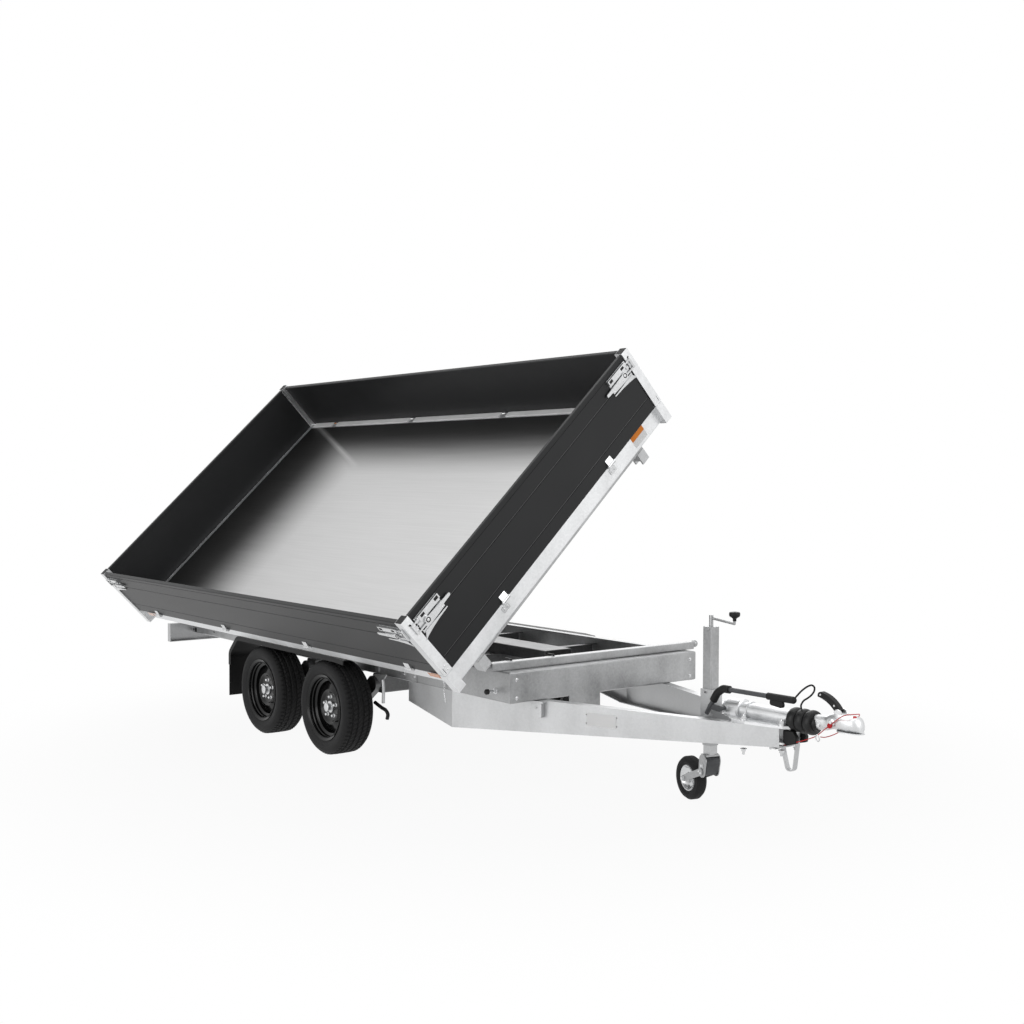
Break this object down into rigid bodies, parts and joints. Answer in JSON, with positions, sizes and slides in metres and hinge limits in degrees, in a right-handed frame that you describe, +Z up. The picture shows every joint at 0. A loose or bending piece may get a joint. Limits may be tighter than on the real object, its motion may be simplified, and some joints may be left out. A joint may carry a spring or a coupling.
{
  "type": "three-way tipping trailer with tandem axles",
  "caption": "Flatbed dump trailer with low side boards, bed tipped to its right side, on twin axles and a jockey wheel.",
  "frame": {"origin": "centre of the tow ball that the coupling head closes over, 490 mm above the ground", "axes": "+X forward along the drawbar, +Y to the trailer's left, +Z up"},
  "size_m": [5.215, 2.2094, 2.2106],
  "materials": {
    "galvanised_steel": "matt zinc coat with a fine spangle",
    "board_paint": "anthracite powder coat, satin",
    "latch_zinc": "bright zinc plate",
    "floor_aluminium": "mill finish, fine grain along the bed",
    "tyre_rubber": "matt",
    "rim_paint": "gloss black",
    "hub_zinc": "zinc plate",
    "black_plastic": "moulded, slightly grained",
    "bellows_rubber": "satin",
    "cast_zinc": "zinc plate over castings",
    "lever_steel": "grey paint on a steel tube",
    "cylinder_paint": "semi-gloss black",
    "cylinder_chrome": "hard chrome",
    "cable_red": "red sheath on a thin steel cable",
    "amber_lens": "clear gloss",
    "red_lens": "clear gloss"
  },
  "bodies": {
    "chassis": {"axle_beams": "galvanised_steel", "breakaway_cable": "cable_red", "chassis_rails": "galvanised_steel", "coupling_handle": "black_plastic", "coupling_head": "cast_zinc", "crank_knob": "black_plastic", "crossmembers": "galvanised_steel", "cylinder_cradle": "galvanised_steel", "drawbar_beams": "galvanised_steel", "drawbar_plates": "galvanised_steel", "front_crossmember": "galvanised_steel", "handbrake_grips": "black_plastic", "handbrake_lever": "lever_steel", "jockey_mast": "galvanised_steel", "lamp_bar": "galvanised_steel", "mud_flaps": "black_plastic", "mudguard_stays": "galvanised_steel", "mudguards": "black_plastic", "overrun_bellows": "bellows_rubber", "overrun_housing": "cast_zinc", "pivot_bars": "galvanised_steel", "rear_lamps": "red_lens", "spine": "galvanised_steel"},
    "wheel_front_left": {"tyre_front_left": "tyre_rubber", "rim_front_left": "rim_paint", "hub_front_left": "hub_zinc"},
    "wheel_front_right": {"tyre_front_right": "tyre_rubber", "rim_front_right": "rim_paint", "hub_front_right": "hub_zinc"},
    "wheel_rear_left": {"tyre_rear_left": "tyre_rubber", "rim_rear_left": "rim_paint", "hub_rear_left": "hub_zinc"},
    "wheel_rear_right": {"tyre_rear_right": "tyre_rubber", "rim_rear_right": "rim_paint", "hub_rear_right": "hub_zinc"},
    "board_front": {"board_front": "board_paint", "latches_front": "latch_zinc"},
    "board_rear": {"board_rear": "board_paint", "latches_rear": "latch_zinc"},
    "board_left": {"board_left": "board_paint", "latches_left": "latch_zinc"},
    "board_right": {"board_right": "board_paint", "latches_right": "latch_zinc"},
    "bed": {"bed_rim": "galvanised_steel", "bed_floor": "floor_aluminium", "bed_longerons": "galvanised_steel", "bed_bearers": "galvanised_steel", "pivot_cups": "galvanised_steel", "bed_posts": "galvanised_steel", "marker_lamps": "amber_lens", "ram_socket": "galvanised_steel", "hinge_brackets": "galvanised_steel"},
    "cylinder": {"cylinder_barrel": "cylinder_paint"},
    "stage": {"cylinder_stage": "cylinder_chrome"},
    "rod": {"cylinder_rod": "cylinder_chrome"},
    "jockey_leg": {"jockey_tube": "galvanised_steel"},
    "jockey_swivel": {"jockey_fork": "galvanised_steel", "jockey_buffer": "black_plastic"},
    "jockey_wheel": {"jockey_tyre": "tyre_rubber", "jockey_rim": "galvanised_steel"}
  },
  "joints": [
    {"name": "wheel_front_left_spin", "type": "hinge", "parent": "chassis", "child": "wheel_front_left", "pos_m": [-2.85, 0.81, -0.2275], "axis": [0, 1, 0], "continuous": true},
    {"name": "wheel_front_right_spin", "type": "hinge", "parent": "chassis", "child": "wheel_front_right", "pos_m": [-2.85, -0.81, -0.2275], "axis": [0, 1, 0], "continuous": true},
    {"name": "wheel_rear_left_spin", "type": "hinge", "parent": "chassis", "child": "wheel_rear_left", "pos_m": [-3.592, 0.81, -0.2275], "axis": [0, 1, 0], "continuous": true},
    {"name": "wheel_rear_right_spin", "type": "hinge", "parent": "chassis", "child": "wheel_rear_right", "pos_m": [-3.592, -0.81, -0.2275], "axis": [0, 1, 0], "continuous": true},
    {"name": "bed_tip", "type": "hinge", "parent": "chassis", "child": "bed", "pos_m": [-1.589, -0.727, 0.136], "axis": [1, 0, 0], "range_deg": [-43.86, 0]},
    {"name": "board_right_fold", "type": "hinge", "parent": "bed", "child": "board_right", "pos_m": [-3.297, -1.04924, 0.13145], "axis": [1, 0, 0], "range_deg": [0, 136]},
    {"name": "board_left_fold", "type": "hinge", "parent": "bed", "child": "board_left", "pos_m": [-3.297, 0.33875, 1.46528], "axis": [-1, 0, 0], "range_deg": [0, 180]},
    {"name": "board_front_fold", "type": "hinge", "parent": "bed", "child": "board_front", "pos_m": [-1.465, -0.35524, 0.79836], "axis": [0, 0.721, 0.6929], "range_deg": [0, 160]},
    {"name": "board_rear_fold", "type": "hinge", "parent": "bed", "child": "board_rear", "pos_m": [-5.129, -0.35524, 0.79836], "axis": [0, -0.721, -0.6929], "range_deg": [0, 180]},
    {"name": "cylinder_swing", "type": "hinge", "parent": "chassis", "child": "cylinder", "pos_m": [-3.221, 0, -0.04], "axis": [1, 0, 0], "range_deg": [-19.14, 0]},
    {"name": "stage_slide", "type": "slide", "parent": "cylinder", "child": "stage", "axis": [0, -0.3275, 0.9449], "range_m": [-0.26314, 0]},
    {"name": "rod_slide", "type": "slide", "parent": "stage", "child": "rod", "axis": [0, -0.3275, 0.9449], "range_m": [-0.26314, 0]},
    {"name": "jockey_lift", "type": "slide", "parent": "chassis", "child": "jockey_leg", "axis": [0, 0, 1], "range_m": [-0.15, 0.035]},
    {"name": "jockey_swivel_turn", "type": "hinge", "parent": "jockey_leg", "child": "jockey_swivel", "pos_m": [-0.769, -0.0195, -0.29], "axis": [0, 0, 1], "continuous": true},
    {"name": "jockey_wheel_spin", "type": "hinge", "parent": "jockey_swivel", "child": "jockey_wheel", "pos_m": [-0.928, 0.0205, -0.3865], "axis": [-0.244, -0.9698, 0], "continuous": true}
  ],
  "couplings": [
    {"joint": "cylinder_swing", "follows": "bed_tip", "ratio": 0.43583},
    {"joint": "stage_slide", "follows": "bed_tip", "m_per_rad": 0.34348},
    {"joint": "rod_slide", "follows": "bed_tip", "m_per_rad": 0.34348}
  ]
}
